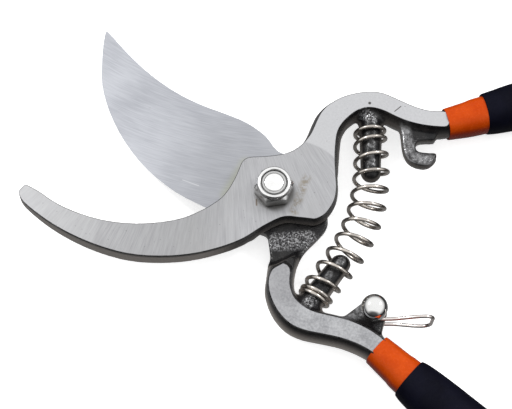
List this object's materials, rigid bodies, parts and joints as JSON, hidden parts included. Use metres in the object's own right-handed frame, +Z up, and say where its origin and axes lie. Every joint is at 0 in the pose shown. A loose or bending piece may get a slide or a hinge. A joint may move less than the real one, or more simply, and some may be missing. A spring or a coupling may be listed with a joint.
{
  "type": "pruning shears",
  "caption": "Bypass pruning shears with forged arms on a pivot bolt, a coil return spring, a wire latch and two-layer handle grips, lying open.",
  "frame": {"origin": "on the pivot axis, on the surface the tool lies on (the underside of the bolt head)", "axes": "+X back between the open handles, +Y towards the hook arm's side, +Z up through the lock nut"},
  "size_m": [0.2007, 0.1499, 0.0199],
  "materials": {
    "hook_forging": "ground satin faces on a black forging",
    "blade_forging": "ground satin faces on a black forging",
    "bolt": "bright plated",
    "washer": "plain",
    "nut": "bright plated",
    "insert": "nylon ring",
    "spring_wire": "polished wire",
    "rivet": "polished",
    "bail_wire": "polished wire",
    "upper_coat": "dipped vinyl, soft gloss",
    "upper_sleeve": "blue-black vinyl",
    "lower_coat": "dipped vinyl, soft gloss",
    "lower_sleeve": "blue-black vinyl"
  },
  "bodies": {
    "hook_side": {"hook_arm": "hook_forging", "pivot_bolt": "bolt", "head_washer": "washer", "pivot_nut": "nut", "nut_insert": "insert", "return_spring": "spring_wire", "upper_grip_liner": "upper_coat", "upper_grip_sleeve": "upper_sleeve"},
    "blade_side": {"blade_arm": "blade_forging", "latch_rivet": "rivet", "lower_grip_liner": "lower_coat", "lower_grip_sleeve": "lower_sleeve"},
    "bail": {"latch_bail": "bail_wire"}
  },
  "joints": [
    {"name": "blade_pivot", "type": "hinge", "parent": "hook_side", "child": "blade_side", "pos_m": [0, 0, 0.0084], "axis": [0, 0, 1], "range_deg": [0, 49], "stiffness_Nm_per_rad": 0.9, "springref_deg": -20.05, "deforming": ["return_spring"]},
    {"name": "latch_swing", "type": "hinge", "parent": "blade_side", "child": "bail", "pos_m": [0.03475, -0.0324, 0.0084], "axis": [0, 0, 1], "range_deg": [-30, 56.4]}
  ]
}
